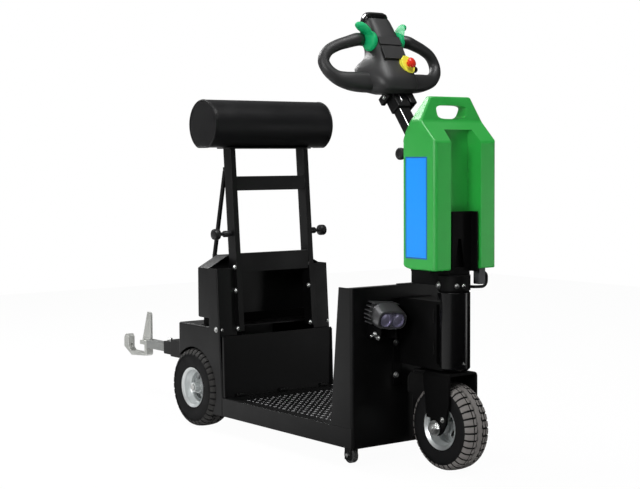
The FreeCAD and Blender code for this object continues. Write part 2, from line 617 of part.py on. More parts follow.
# Tiller: a leaning stem on the column's pivot with the control head and its hand loop.
def build_tiller():
    stem = doc.addObject("Part::Box", "Stem")
    stem.Placement = FreeCAD.Placement(FreeCAD.Vector(),
                                       FreeCAD.Rotation(FreeCAD.Vector(0, 1, 0), 1))
    bind(stem, "Length", "stem_deep")
    bind(stem, "Width", "2 * stem_half")
    bind(stem, "Height", "260")
    bind(stem, "Placement.Rotation.Angle", "-lean")
    bind(stem, "Placement.Base.x", "steer_x + pivot_x - stem_deep / 2 * cos(lean)")
    bind(stem, "Placement.Base.y", "-stem_half")
    bind(stem, "Placement.Base.z", "pivot_z - stem_deep / 2 * sin(lean)")
    bore = rod("Y", "pivot_x", "-stem_half - 1", "pivot_z", "pin_r + running",
               "2 * stem_half + 2")
    stem = sub_part("tiller_stem", cut(stem, bore))
    knob = fuse(rod("Y", "pivot_x", "-82", "pivot_z", "pin_r", "108"),
                rod("Y", "pivot_x", "-102", "pivot_z", "18", "22"))
    sub_part("tilt_knob", knob)
    loop = sub_part("hand_loop", cut(hand_loop(), stem))
    foot = slab("XZ", [("-337", "1122"), ("-222", "1122"), ("-206", "1140"), ("-206", "1150"),
                       ("-240", "1203"), ("-337", "1203")], "-110", "110")
    wedges = [slab("XY", [("-305", f"{sign} * 110.5"), ("-200", f"{sign} * 50"),
                          ("-200", f"{sign} * 111")], "1121", "1204") for side, sign in SIDES]
    tower = slab("XZ", [("-335", "1130"), ("-206", "1130"), ("-206", "1150"), ("-240", "1203"),
                        ("-268", "1261"), ("-318", "1346"), ("-330", "1366"), ("-362", "1366"),
                        ("-358", "1250")], "-50", "50")
    collar = sub_part("stop_collar", face_rod("-14", "30", "19"))
    key = sub_part("key_switch", rod("X", "-275", "84", "1190", "9", "27"))
    button = sub_part("stop_button", fuse(face_rod("5", "10", "12"), face_rod("17", "19", "14")))
    sub_part("tiller_head", cut(fuse(cut(foot, *wedges), tower), stem, loop, collar, button, key))
    levers = []
    for side, sign in SIDES:
        levers.append(rod("Y", "-304", f"{sign} * 58 - 8", "1274", "30", "16"))
        levers.append(box(("-330", "-302"), (f"{sign} * 78 - 20", f"{sign} * 78 + 20"),
                          ("1300", "1330")))
    sub_part("thumb_levers", cut(fuse(*levers), loop))


def face_rod(start, radius, length):
    """A cylinder square to the head's sloping face, starting a distance out from it."""
    solid = doc.addObject("Part::Cylinder", "FaceRod")
    solid.Placement = FreeCAD.Placement(FreeCAD.Vector(),
                                        FreeCAD.Rotation(FreeCAD.Vector(0, 1, 0), 1))
    bind(solid, "Radius", radius)
    bind(solid, "Height", length)
    bind(solid, "Placement.Rotation.Angle", "90 - stop_tilt")
    bind(solid, "Placement.Base.x", f"steer_x + stop_x + ({start}) * cos(stop_tilt)")
    bind(solid, "Placement.Base.y", "stop_y")
    bind(solid, "Placement.Base.z", f"stop_z + ({start}) * sin(stop_tilt)")
    return solid


def hand_loop():
    """A round grip bent to an ellipse, leaning with the tiller."""
    path = doc.addObject("Part::Ellipse", "LoopPath")
    bind(path, "MajorRadius", "loop_a")
    bind(path, "MinorRadius", "loop_b")
    ring = doc.addObject("Part::Circle", "LoopSection")
    ring.Placement = FreeCAD.Placement(FreeCAD.Vector(), TURNS["Y"])
    bind(ring, "Radius", "loop_r")
    bind(ring, "Placement.Base.x", "loop_a")
    loop = doc.addObject("Part::Sweep", "Loop")
    loop.Sections = [ring]
    loop.Spine = (path, ["Edge1"])
    loop.Solid = True
    loop.Frenet = False
    stand = FreeCAD.Rotation(FreeCAD.Vector(0, 1, 0), -SIZES["loop_lean"])
    upright = FreeCAD.Rotation(FreeCAD.Vector(1, 1, 1), 120)
    loop.Placement = FreeCAD.Placement(FreeCAD.Vector(), stand.multiply(upright))
    bind(loop, "Placement.Base.x", "steer_x + loop_x")
    bind(loop, "Placement.Base.z", "loop_z")
    return loop


# Hitch: a long beam from the tail, a socket, the square drawbar and its open hook.
def build_hitch():
    beam = box(("socket_back + 60", "tail_x"), ("-30", "30"), ("hitch_z - 26", "hitch_z + 38"))
    socket = cut(box(("socket_back", "socket_back + 60"), ("-24", "24"),
                     ("hitch_z - 22", "hitch_z + 26")),
                 box(("socket_back - 1", "socket_back + 50"), ("-bar_half", "bar_half"),
                     ("hitch_z - bar_half", "hitch_z + bar_half")))
    sub_part("hitch_beam", fuse(beam, socket))
    sub_part("drawbar", box(("bar_end", "socket_back + 50"), ("-bar_half", "bar_half"),
                            ("hitch_z - bar_half", "hitch_z + bar_half")))
    hook = slab("XZ", [("bar_end", "206"), ("bar_end", "hook_low + 14"),
                       ("bar_end - 8", "hook_low + 8"), ("hook_end + 58", "hook_low"),
                       ("hook_end", "hook_low + 30"), ("hook_end", "206"),
                       ("hook_end + 12", "220"), ("hook_end + 28", "220"),
                       ("hook_end + 36", "210"), ("hook_end + 36", "170"),
                       ("hook_end + 50", "158"), ("bar_end - 20", "158"),
                       ("bar_end - 20", "190"), ("bar_end - 55", "190"),
                       ("bar_end - 55", "206")], "-hook_half", "hook_half")
    eye = rod("X", "hook_end - 1", "0", "178", "5", "45")
    fin = slab("XZ", [("bar_end - 52", "206"), ("bar_end", "206"), ("bar_end", "214"),
                      ("bar_end + 16", "214"), ("bar_end + 16", "312"), ("bar_end + 10", "320"),
                      ("bar_end - 12", "320")], "-4", "4")
    sub_part("tow_hook", fuse(cut(hook, eye), fin))


for build in (build_floor, build_front_panel, build_posts, build_riser, build_rear_box,
              build_rear_housing, build_uprights, build_cross_members, build_back_roll,
              build_brace, build_plungers, build_transaxle, build_rear_wheels,
              build_front_wheel, build_fork, build_front_axle, build_mudguard,
              build_steering_head, build_rollers, build_headlight, build_column,
              build_battery_bracket, build_battery, build_lead, build_tiller,
              build_hitch):
    build()
doc.recompute()

for thing in doc.Objects:
    for flag in ("Invalid", "Error"):
        if flag in thing.State:
            raise RuntimeError(f"{thing.Name} ({thing.Label}): {thing.State}")
os.makedirs("parts", exist_ok=True)
for solid in sub_parts:
    if solid.Shape.isNull() or not solid.Shape.isValid():
        raise RuntimeError(f"{solid.Label} has no valid shape")
for solid in sub_parts:
    solid.Shape.exportStep(f"parts/{solid.Label}.step")
    span = solid.Shape.BoundBox
    print(f"{solid.Label:18s} x {span.XMin:8.1f} {span.XMax:8.1f}  y {span.YMin:7.1f} "
          f"{span.YMax:7.1f}  z {span.ZMin:7.1f} {span.ZMax:7.1f}  "
          f"{len(solid.Shape.Solids)} solid  {solid.Shape.Volume / 1e3:9.1f} cm3")
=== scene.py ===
import math

import bmesh
import bpy
import numpy as np
from mathutils import Matrix, Vector


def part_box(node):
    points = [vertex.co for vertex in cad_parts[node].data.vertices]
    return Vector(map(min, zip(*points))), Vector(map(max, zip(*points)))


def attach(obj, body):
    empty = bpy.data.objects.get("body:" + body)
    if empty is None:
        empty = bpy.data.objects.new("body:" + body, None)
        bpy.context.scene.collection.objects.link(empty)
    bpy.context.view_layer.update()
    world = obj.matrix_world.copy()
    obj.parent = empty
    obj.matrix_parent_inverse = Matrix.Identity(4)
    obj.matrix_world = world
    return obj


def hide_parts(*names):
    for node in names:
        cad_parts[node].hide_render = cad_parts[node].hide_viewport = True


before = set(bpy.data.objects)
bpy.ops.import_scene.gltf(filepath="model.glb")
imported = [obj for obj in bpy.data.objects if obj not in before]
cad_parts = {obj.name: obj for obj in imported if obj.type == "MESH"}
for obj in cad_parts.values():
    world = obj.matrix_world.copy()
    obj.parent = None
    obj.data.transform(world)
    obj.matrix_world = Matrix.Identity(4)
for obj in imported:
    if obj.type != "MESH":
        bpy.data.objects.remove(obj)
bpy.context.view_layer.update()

# Camera: a long lens at waist height, off the truck's right front corner, pitched a little down
# and turned a hair off level.
camera = bpy.data.objects.new("camera", bpy.data.cameras.new("camera"))
bpy.context.scene.collection.objects.link(camera)
camera.data.lens = 80.27
camera.data.clip_end = 100
camera.matrix_world = (Matrix.Translation((3.9979, -2.8136, 0.9229))
                       @ Matrix.Rotation(math.radians(53.0), 4, "Z")
                       @ Matrix.Rotation(math.radians(86.49), 4, "X")
                       @ Matrix.Rotation(math.radians(-0.29), 4, "Z"))
bpy.context.scene.camera = camera
bpy.context.scene.view_settings.view_transform = "Standard"


# Studio: a pale floor in a white surround. What the metal mirrors is bright behind the truck and
# dark at its left front. Four soft lamps hang above it and a narrow one stands at its left front.
def away_from_front(nodes, links, source, low, high, least, most):
    """Light that grows from the dark left front towards the bright right rear."""
    towards = nodes.new("ShaderNodeVectorMath")
    towards.operation = "DOT_PRODUCT"
    towards.inputs[1].default_value = (-0.8, -0.6, 0.0)
    level = nodes.new("ShaderNodeMapRange")
    level.interpolation_type = "SMOOTHSTEP"
    level.inputs["From Min"].default_value = low
    level.inputs["From Max"].default_value = high
    level.inputs["To Min"].default_value = least
    level.inputs["To Max"].default_value = most
    links.new(source, towards.inputs[0])
    links.new(towards.outputs["Value"], level.inputs["Value"])
    return level.outputs[0]


def studio_floor(half=5.0):
    """A square of matt paper that shows white, and keeps the truck's faint shadow."""
    mesh = bpy.data.meshes.new("studio_floor")
    mesh.from_pydata([(-half, -half, 0), (half, -half, 0), (half, half, 0), (-half, half, 0)],
                     [], [(0, 1, 2, 3)])
    floor = bpy.data.objects.new("studio_floor", mesh)
    bpy.context.scene.collection.objects.link(floor)
    mat = bpy.data.materials.new("studio_floor")
    mat.use_nodes = True
    nodes, links = mat.node_tree.nodes, mat.node_tree.links
    paper = nodes["Principled BSDF"]
    paper.inputs["Base Color"].default_value = (0.85, 0.85, 0.85, 1)
    paper.inputs["Roughness"].default_value = 1.0
    paper.inputs["Specular IOR Level"].default_value = 0.0
    path = nodes.new("ShaderNodeLightPath")
    glow = nodes.new("ShaderNodeEmission")
    seen_by = nodes.new("ShaderNodeMath")
    seen_by.operation = "MAXIMUM"
    share = nodes.new("ShaderNodeMath")
    share.operation = "MULTIPLY"
    share.inputs[1].default_value = 0.97
    seen = nodes.new("ShaderNodeMixShader")
    place = nodes.new("ShaderNodeNewGeometry")
    mirrored = nodes.new("ShaderNodeEmission")
    links.new(away_from_front(nodes, links, place.outputs["Position"], -0.7, 0.8, 0.0, 0.8),
              mirrored.inputs["Strength"])
    shine = nodes.new("ShaderNodeMixShader")
    links.new(path.outputs["Is Camera Ray"], seen_by.inputs[0])
    links.new(path.outputs["Is Transmission Ray"], seen_by.inputs[1])
    links.new(seen_by.outputs[0], share.inputs[0])
    links.new(share.outputs[0], seen.inputs[0])
    links.new(paper.outputs[0], seen.inputs[1])
    links.new(glow.outputs[0], seen.inputs[2])
    links.new(path.outputs["Is Glossy Ray"], shine.inputs[0])
    links.new(seen.outputs[0], shine.inputs[1])
    links.new(mirrored.outputs[0], shine.inputs[2])
    links.new(shine.outputs[0], nodes["Material Output"].inputs["Surface"])
    mesh.materials.append(mat)


def backdrop():
    """A surround that shows white, and lights the truck only weakly."""
    world = bpy.data.worlds.new("backdrop")
    bpy.context.scene.world = world
    world.use_nodes = True
    nodes, links = world.node_tree.nodes, world.node_tree.links
    sky = nodes["Background"]
    sky.inputs["Color"].default_value = (1, 1, 1, 1)
    path = nodes.new("ShaderNodeLightPath")
    way = nodes.new("ShaderNodeTexCoord")
    surround = away_from_front(nodes, links, way.outputs["Generated"], -0.6, 0.35, 0.05, 0.19)
    through = nodes.new("ShaderNodeMath")
    through.operation = "MAXIMUM"
    links.new(path.outputs["Is Camera Ray"], through.inputs[0])
    links.new(path.outputs["Is Transmission Ray"], through.inputs[1])
    seen = nodes.new("ShaderNodeMath")
    seen.operation = "MAXIMUM"
    links.new(through.outputs[0], seen.inputs[0])
    links.new(surround, seen.inputs[1])
    links.new(seen.outputs[0], sky.inputs["Strength"])


def soft_box(name, place, target, width, height, watts):
    """A rectangular lamp at one place, in metres, turned to a target."""
    lamp = bpy.data.lights.new(name, "AREA")
    lamp.shape = "RECTANGLE"
    lamp.size, lamp.size_y, lamp.energy = width, height, watts
    holder = bpy.data.objects.new(name, lamp)
    bpy.context.scene.collection.objects.link(holder)
    holder.location = place
    holder.rotation_euler = (Vector(target) - Vector(place)).to_track_quat("-Z", "Y").to_euler()


studio_floor()
backdrop()
soft_box("rear_top_box", (-2.6, -0.8, 3.4), (0.9, 0, 0.8), 1.4, 1.2, 157)
soft_box("right_front_box", (2.5, -4.0, 2.1), (0.3, 0, 0.7), 1.2, 1.2, 100)
soft_box("top_front_box", (1.8, 0.2, 3.9), (0.6, 0, 0.8), 1.4, 1.4, 72)
soft_box("overhead_box", (-0.3, -0.6, 4.2), (0, 0, 0.4), 2.4, 2.4, 24)
soft_box("left_front_strip", (2.4, 2.13, 0.45), (0.91, 0, 0.45), 0.5, 0.9, 4)


# Sheet-steel body: laser-cut sheet folded on a press brake, welded, and baked in black powder.
# Every fold and cut edge keeps a small radius. Sizes below are millimetres from the front axle.
axle_low, axle_high = (Vector(corner) * 1000 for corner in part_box("front_axle"))
front_axle = Vector(((axle_low.x + axle_high.x) / 2, 0, 0))


def measured(node):
    """A CAD piece's lowest and highest corner, in millimetres from the front axle."""
    return [Vector(corner) * 1000 - front_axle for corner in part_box(node)]


def plain_finish(name, colour, roughness, metallic=0.0, specular=0.5):
    """An even coat of one colour and gloss."""
    mat = bpy.data.materials.new(name)
    mat.use_nodes = True
    paint = mat.node_tree.nodes["Principled BSDF"]
    paint.inputs["Base Color"].default_value = (*colour, 1)
    paint.inputs["Roughness"].default_value = roughness
    paint.inputs["Metallic"].default_value = metallic
    paint.inputs["Specular IOR Level"].default_value = specular
    return mat


def grained(mat, grain, depth, low, high, patch=9.0):
    """Add a fine relief of the given grain size in metres, and patches of changing gloss."""
    nodes, links = mat.node_tree.nodes, mat.node_tree.links
    paint = nodes["Principled BSDF"]
    place = nodes.new("ShaderNodeTexCoord")
    relief = nodes.new("ShaderNodeTexNoise")
    relief.inputs["Scale"].default_value = 1 / grain
    relief.inputs["Detail"].default_value = 3
    bump = nodes.new("ShaderNodeBump")
    bump.inputs["Strength"].default_value = 0.5
    bump.inputs["Distance"].default_value = depth
    smudge = nodes.new("ShaderNodeTexNoise")
    smudge.inputs["Scale"].default_value = patch
    gloss = nodes.new("ShaderNodeMapRange")
    gloss.inputs["From Min"].default_value = 0.3
    gloss.inputs["From Max"].default_value = 0.7
    gloss.inputs["To Min"].default_value = low
    gloss.inputs["To Max"].default_value = high
    links.new(place.outputs["Object"], relief.inputs["Vector"])
    links.new(relief.outputs["Fac"], bump.inputs["Height"])
    links.new(bump.outputs[0], paint.inputs["Normal"])
    links.new(place.outputs["Object"], smudge.inputs["Vector"])
    links.new(smudge.outputs["Fac"], gloss.inputs["Value"])
    links.new(gloss.outputs[0], paint.inputs["Roughness"])
    return mat


def soften(obj, width, segments=2, angle=30):
    """Round every edge sharper than the angle by a width in millimetres."""
    edge = obj.modifiers.new("worn_edge", "BEVEL")
    edge.width = width / 1000
    edge.segments = segments
    edge.limit_method = "ANGLE"
    edge.angle_limit = math.radians(angle)
    edge.harden_normals = True


def dress(finish, *names, edge=0.9):
    """Give CAD pieces their finish and a small radius on each fold and cut edge."""
    for name in names:
        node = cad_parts[name]
        node.data.materials.clear()
        node.data.materials.append(finish)
        if "custom_normal" in node.data.attributes:
            node.data.attributes.remove(node.data.attributes["custom_normal"])
        node.data.shade_smooth()
        weld = node.modifiers.new("one_skin", "WELD")
        weld.merge_threshold = 0.00002
        soften(node, edge)


powder_coat = grained(plain_finish("powder_coat", (0.002, 0.002, 0.0022), 0.4, specular=0.32),
                      0.0011, 0.00005, 0.36, 0.44)
dress(powder_coat, "floor_pan", "front_panel", "rear_posts", "riser_plate", "rear_box",
      "rear_housing")


# Tread plate: a checker plate laid in the footwell, its raised lozenges pale grey as a painted
# highlight on the black plate. They stand in square rows, turned to one diagonal and the other in
# turn.
def skin(name, shape):
    """Make a mesh from a shape drawn in millimetres from the front axle."""
    bmesh.ops.recalc_face_normals(shape, faces=shape.faces)
    for corner in shape.verts:
        corner.co = (front_axle + corner.co) / 1000
    mesh = bpy.data.meshes.new(name)
    shape.to_mesh(mesh)
    shape.free()
    return mesh


def new_piece(name, shape, finish, body, stands_for=(), crease=35):
    """Add a shape as a piece that rides on a body, in place of the CAD nodes it stands for."""
    mesh = skin(name, shape)
    mesh.shade_smooth()
    mesh.set_sharp_from_angle(angle=math.radians(crease))
    for mat in finish if isinstance(finish, (list, tuple)) else [finish]:
        mesh.materials.append(mat)
    obj = bpy.data.objects.new(name, mesh)
    bpy.context.scene.collection.objects.link(obj)
    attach(obj, body)
    if stands_for:
        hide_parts(*stands_for)
    return obj


def loft(shape, rings, closed=False, capped=True, paint=0):
    """Skin a row of outlines with equal numbers of points; closed joins the last to the first."""
    made = [[shape.verts.new(point) for point in ring] for ring in rings]
    count = len(made[0])
    pairs = list(zip(made, made[1:])) + ([(made[-1], made[0])] if closed else [])
    for a, b in pairs:
        for step in range(count):
            after = (step + 1) % count
            shape.faces.new((a[step], a[after], b[after], b[step])).material_index = paint
    if capped and not closed:
        for ring in (made[0], made[-1]):
            shape.faces.new(ring).material_index = paint
    return made


plate_top = measured("floor_pan")[1].z
# The lozenges' pale grey is painted highlight; the plate under them is black.
lug_highlight_finish = grained(plain_finish("tread_lug_painted_highlight", (0.26, 0.26, 0.265), 0.34, specular=0.9),
                       0.002, 0.00005, 0.3, 0.45)


def tread_lug(shape, x, y, turn, long=6.0, wide=3.8, high=1.5):
    """One raised lozenge, rounded over towards its top; long and wide are half sizes."""
    rings = []
    for level, grow, grow_long in ((-0.2, 1.0, 1.0), (high * 0.75, 0.8, 0.864),
                                   (high, 0.45, 0.486)):
        ring = []
        for step in range(8):
            angle = math.tau * step / 8
            a = math.cos(angle) * long * grow_long
            b = math.sin(angle) * wide * grow
            ring.append((x + a * math.cos(turn) - b * math.sin(turn),
                         y + a * math.sin(turn) + b * math.cos(turn), plate_top + level))
        rings.append(ring)
    loft(shape, rings)


lugs = bmesh.new()
lug_pitch = 25.0
first_lug_x, first_lug_y = -780, -187
for row in range(16):
    for column in range(23):
        tread_lug(lugs, first_lug_x + lug_pitch * column, first_lug_y + lug_pitch * row,
                  math.radians(45 - 90 * ((row + column) % 2)))
new_piece("tread_lugs", lugs, lug_highlight_finish, "chassis")


# Fasteners: bright zinc button-head screws with a hex socket, each on its washer, and plain hex
# heads. They hold the frame tubes, the steering bracket's flanges and the rear posts.
def about(along):
    """A line's own direction and two more, each square to the others."""
    along = Vector(along).normalized()
    spare = Vector((0, 0, 1)) if abs(along.z) < 0.9 else Vector((1, 0, 0))
    side = along.cross(spare).normalized()
    return along, side, along.cross(side)


def lathe(shape, profile, centre, along, steps=32, closed=False, paint=0):
    """Turn a row of (distance, radius) points about a line through the centre."""
    along, side, other = about(along)
    rings = []
    for distance, radius in profile:
        rings.append([Vector(centre) + along * distance
                      + (side * math.cos(math.tau * step / steps)
                         + other * math.sin(math.tau * step / steps)) * radius
                      for step in range(steps)])
    return loft(shape, rings, closed, not closed, paint)


def prism(shape, plane, corners, low, high, turn=Matrix()):
    """Draw an outline in one plane out between two values of the third axis."""
    first, second, third = {"XZ": (0, 2, 1), "YZ": (1, 2, 0), "XY": (0, 1, 2)}[plane]
    rings = []
    for level in (low, high):
        ring = []
        for a, b in corners:
            spot = Vector((0, 0, 0))
            spot[first], spot[second], spot[third] = a, b, level
            ring.append(turn @ spot)
        rings.append(ring)
    return loft(shape, rings)


def block(shape, x, y, z, turn=Matrix()):
    """A square-edged block between two values of each axis."""
    corners = [(x[0], y[0]), (x[1], y[0]), (x[1], y[1]), (x[0], y[1])]
    return prism(shape, "XY", corners, z[0], z[1], turn)


def button_screw(shape, place, along, radius):
    """A washer and a domed head with a hex socket sunk in it."""
    washer = radius * 1.35
    lathe(shape, [(0, washer), (radius * 0.18, washer), (radius * 0.2, radius * 0.9)],
          place, along, 24)
    lathe(shape, [(radius * 0.18, radius), (radius * 0.5, radius * 0.95),
                  (radius * 0.8, radius * 0.75), (radius * 0.95, radius * 0.5)],
          place, along, 24)
    start = Vector(place) + Vector(along).normalized() * radius * 0.951
    lathe(shape, [(0, radius * 0.5), (0.001, radius * 0.42), (-radius * 0.3, radius * 0.4),
                  (-radius * 0.3, 0.01)], start, along, 6)


def hex_screw(shape, place, along, across, high):
    """A plain washer under a chamfered six-sided head."""
    corner = across / math.sqrt(3)
    lathe(shape, [(0, corner * 1.3), (high * 0.22, corner * 1.3)], place, along, 28)
    lathe(shape, [(high * 0.22, corner), (high * 0.88, corner), (high, corner * 0.84)],
          place, along, 6)


zinc = grained(plain_finish("zinc_plate", (0.66, 0.67, 0.66), 0.3, metallic=1.0),
               0.004, 0.00004, 0.22, 0.36, patch=30)
panel_face = measured("head_bracket")[0].x
tube_outer, tube_inner = 161.6, 141.6
tube_lean = math.radians(4.5)
screws = bmesh.new()
for z in (554, 476, 348):
    tube_middle = -879 - (z - 340) * math.tan(tube_lean)
    for face in (-tube_outer, tube_inner):
        button_screw(screws, (tube_middle, face, z), (0, -1, 0), 7)
button_screw(screws, (-893, -tube_outer, 553), (0, -1, 0), 4)
for side in (-1, 1):
    button_screw(screws, (-905, side * 232, 347), (0, side, 0), 7)
    button_screw(screws, (-885, side * 222, 347), (1, 0, 0), 4)
    for z in (366, 267):
        hex_screw(screws, (panel_face + 4, side * 68, z), (1, 0, 0), 13, 8)
new_piece("body_screws", screws, zinc, "chassis")


# Rear housing's skirt: painted shade under the housing, as black strips round its foot and a thin
# mat on the deck of the rear box. The riser's folded edges and the three tabs at its foot are body
# sheet.
under_housing_shade = bmesh.new()
housing_low, housing_high = measured("rear_housing")
back, front = housing_low.x, housing_high.x
deck = measured("rear_box")[1].z
# A thin black mat on the deck and black strips at the back and sides: painted shade under the
# housing.
block(under_housing_shade, (back + 6, front), (-222, 222), (deck, deck + 2))
block(under_housing_shade, (back + 5, back + 8), (-210, 210), (deck, deck + 30))
for side in (-1, 1):
    block(under_housing_shade, (back + 5, front), (side * 208, side * 211), (deck, deck + 30))
# One near-matt black: the real rubber of the bearing seal, and the painted shade under the
# housing.
seal_rubber_and_shade = grained(plain_finish("seal_rubber_and_shade", (0.001, 0.001, 0.001), 0.7, specular=0.08),
                      0.002, 0.00005, 0.6, 0.8)
new_piece("housing_shade_sheets", under_housing_shade, seal_rubber_and_shade, "chassis")

flange = bmesh.new()
for side in (-1, 1):
    prism(flange, "XZ", [(-873, 122), (-862, 122), (-868, 322), (-873, 322)],
          side * 224, side * 228)
new_piece("riser_edges", flange, powder_coat, "chassis")

tabs = bmesh.new()
for y in (-161, 16, 192):
    block(tabs, (-872, -862), (y - 16, y + 16), (121, 131))
soften(new_piece("riser_tabs", tabs, powder_coat, "chassis"), 2.5)


# Lean-back frame: rectangular steel tubes with a welded bar, a lower plate and one round brace,
# all in the same black powder. The roll's steel seat closes the top.
dress(powder_coat, "uprights", "cross_members", "roll_plate", "back_brace")


# Roll cushion: foam in black vinyl sewn round two discs, with piping over each end seam. The
# cover is blown up a little in a cloth simulation and rests on its steel seat.
roll_low, roll_high = measured("back_roll")
roll_centre = Vector(((roll_low.x + roll_high.x) / 2, 0, roll_high.z - 83))
vinyl = grained(plain_finish("vinyl", (0.006, 0.006, 0.0066), 0.42, specular=0.3),
                0.0022, 0.00009, 0.36, 0.5, patch=14)


def roll_cushion(half=243.0, radius=84.0, swell=0.004):
    """The stuffed cover: a turned roll, flat below, whose seams and flat stay where they are."""
    shape = bmesh.new()
    stations = [(-half, 0.01), (-half, radius * 0.45), (-half, radius * 0.8), (-half, radius - 4),
                (-half + 2, radius - 1)]
    stations += [(-half + 5 + (2 * half - 10) * step / 40, radius) for step in range(41)]
    stations += [(-a, r) for a, r in reversed(stations[:5])]
    lathe(shape, stations, roll_centre, (0, 1, 0), 96)
    flat = roll_low.z
    for corner in shape.verts:
        corner.co.z = max(corner.co.z, flat)
    cushion = new_piece("roll_cushion", shape, vinyl, "chassis", ["back_roll"], crease=180)
    worn = cushion.modifiers.new("remesh", "REMESH")
    worn.mode = "VOXEL"
    worn.voxel_size = 0.006
    worn.use_smooth_shade = True
    bpy.context.view_layer.objects.active = cushion
    cushion.select_set(True)
    bpy.ops.object.modifier_apply(modifier="remesh")
    held = cushion.vertex_groups.new(name="held")
    for corner in cushion.data.vertices:
        spot = corner.co * 1000 - front_axle
        off_axis = math.hypot(spot.x - roll_centre.x, spot.z - roll_centre.z)
        near_seam = abs(abs(spot.y) - half) < 7 and off_axis > radius - 8
        if near_seam or spot.z < flat + 3:
            held.add([corner.index], 1.0, "REPLACE")
    before = np.array([corner.co[:] for corner in cushion.data.vertices])
    cover = cushion.modifiers.new("cover", "CLOTH")
    cover.settings.use_pressure = True
    cover.settings.uniform_pressure_force = 4
    cover.settings.effector_weights.gravity = 0
    cover.settings.vertex_group_mass = "held"
    cover.settings.tension_stiffness = 25
    cover.settings.compression_stiffness = 25
    cover.point_cache.frame_start = 1
    cover.point_cache.frame_end = 20
    for frame_number in range(1, 21):
        bpy.context.scene.frame_set(frame_number)
    bpy.ops.object.modifier_apply(modifier="cover")
    bpy.context.scene.frame_set(1)
    after = np.array([corner.co[:] for corner in cushion.data.vertices])
    move = after - before
    far = np.linalg.norm(move, axis=1)
    move *= (np.minimum(far, swell) / np.maximum(far, 1e-9))[:, None]
    cushion.data.vertices.foreach_set("co", (before + move).ravel())
    fine = cushion.modifiers.new("fine", "SUBSURF")
    fine.levels = fine.render_levels = 1
    cushion.data.shade_smooth()
    return cushion


roll_cushion()


def tube(shape, path, radius, sides=12, closed=False, paint=0):
    """Sweep a circle along a path; radius may be one number or a number for each point."""
    path = [Vector(point) for point in path]
    count = len(path)
    side = None
    rings = []
    for step, point in enumerate(path):
        ahead = path[(step + 1) % count] if closed or step + 1 < count else point
        behind = path[step - 1] if closed or step else point
        along = (ahead - behind).normalized()
        if side is None:
            side = about(along)[1]
        side = (side - along * side.dot(along)).normalized()
        other = along.cross(side)
        size = radius[step] if isinstance(radius, (list, tuple)) else radius
        rings.append([point + (side * math.cos(math.tau * k / sides)
                               + other * math.sin(math.tau * k / sides)) * size
                      for k in range(sides)])
    return loft(shape, rings, closed, not closed, paint)


piping = bmesh.new()
seam_radius, seam_y = 81.5, 240.5
for end in (-1, 1):
    path = []
    for step in range(72):
        angle = math.tau * step / 72
        z = max(roll_centre.z + seam_radius * math.sin(angle), roll_low.z + 2)
        path.append((roll_centre.x + seam_radius * math.cos(angle), end * seam_y, z))
    tube(piping, path, 3.4, 8, closed=True)
new_piece("roll_piping", piping, vinyl, "chassis")


# Spring plungers: a short barrel, a thin neck and a moulded knob that is pulled to draw the
# pin back, all black. One is screwed into the outer face of each upright.
black_plastic = grained(plain_finish("black_plastic", (0.009, 0.009, 0.0095), 0.4, specular=0.45),
                        0.0008, 0.00004, 0.34, 0.5)
pin_low, pin_high = measured("plungers")
pin = (pin_low + pin_high) / 2
plungers = bmesh.new()
for side in (-1, 1):
    lathe(plungers, [(0, 8), (8, 8), (9, 11), (28, 11), (31, 9), (32, 6), (47, 6), (48, 12),
                     (50, 17.5), (53, 18.5), (66, 18.5), (70, 17), (72, 13)],
          (pin.x, side * tube_outer, pin.z), (0, side, 0), 32)
new_piece("plunger_knobs", plungers, black_plastic, "chassis", ["plungers"])


# Rear wheels: block-tread rubber tyres on pressed zinc rims with windows, keyed to the shafts.
# A tread pitch holds two rows of blocks from each shoulder and a zig-zag rib in the middle.
tyre_rubber = grained(plain_finish("tyre_wall", (0.009, 0.009, 0.0095), 0.68, specular=0.12),
                      0.003, 0.00012, 0.55, 0.7, patch=25)
tread_rubber = grained(plain_finish("tyre_tread", (0.17, 0.16, 0.153), 0.85, specular=0.3),
                       0.002, 0.0001, 0.8, 0.92, patch=40)


def crown(across, radius):
    """Tread radius at a distance from the tyre's middle plane."""
    table = [(0, 0), (14, 0.4), (24, 1.4), (32, 3.6), (38, 7.5), (42, 12.5), (44, 19)]
    across = abs(across)
    for (a, low), (b, high) in zip(table, table[1:]):
        if across <= b:
            return radius - low - (high - low) * (across - a) / (b - a)
    return radius - table[-1][1]


def tread_block(shape, centre, radius, start, end, rows, depth=5.0, corner=0.9):
    """One rubber block between two angles, with a row of points at each distance across it.

    Its deep sides are the colour of the wall and its worn top and corners that of the tread.
    """
    inward = 1 if rows[-1] > rows[0] else -1
    made = []
    for level, inset in ((-depth, 0.0), (-corner, 0.0), (0.0, corner)):
        across_at = list(rows)
        across_at[0] += inset * inward
        across_at[-1] -= inset * inward
        shrink = inset / radius
        outline = [(across, start + shrink) for across in across_at]
        outline += [(across, end - shrink) for across in reversed(across_at)]
        ring = []
        for across, angle in outline:
            reach = crown(across, radius) + level
            flare = 0.6 * level if abs(across) > 40 else 0
            ring.append(shape.verts.new(centre + Vector((
                math.cos(angle) * reach, across + math.copysign(flare, across),
                math.sin(angle) * reach))))
        made.append(ring)
    count = len(made[0])
    for depth_step, (a, b) in enumerate(zip(made, made[1:])):
        for step in range(count):
            after = (step + 1) % count
            side = shape.faces.new((a[step], a[after], b[after], b[step]))
            side.material_index = depth_step
    top = made[2]
    for step in range(len(rows) - 1):
        face = shape.faces.new((top[step], top[step + 1], top[count - 2 - step],
                                top[count - 1 - step]))
        face.material_index = 1


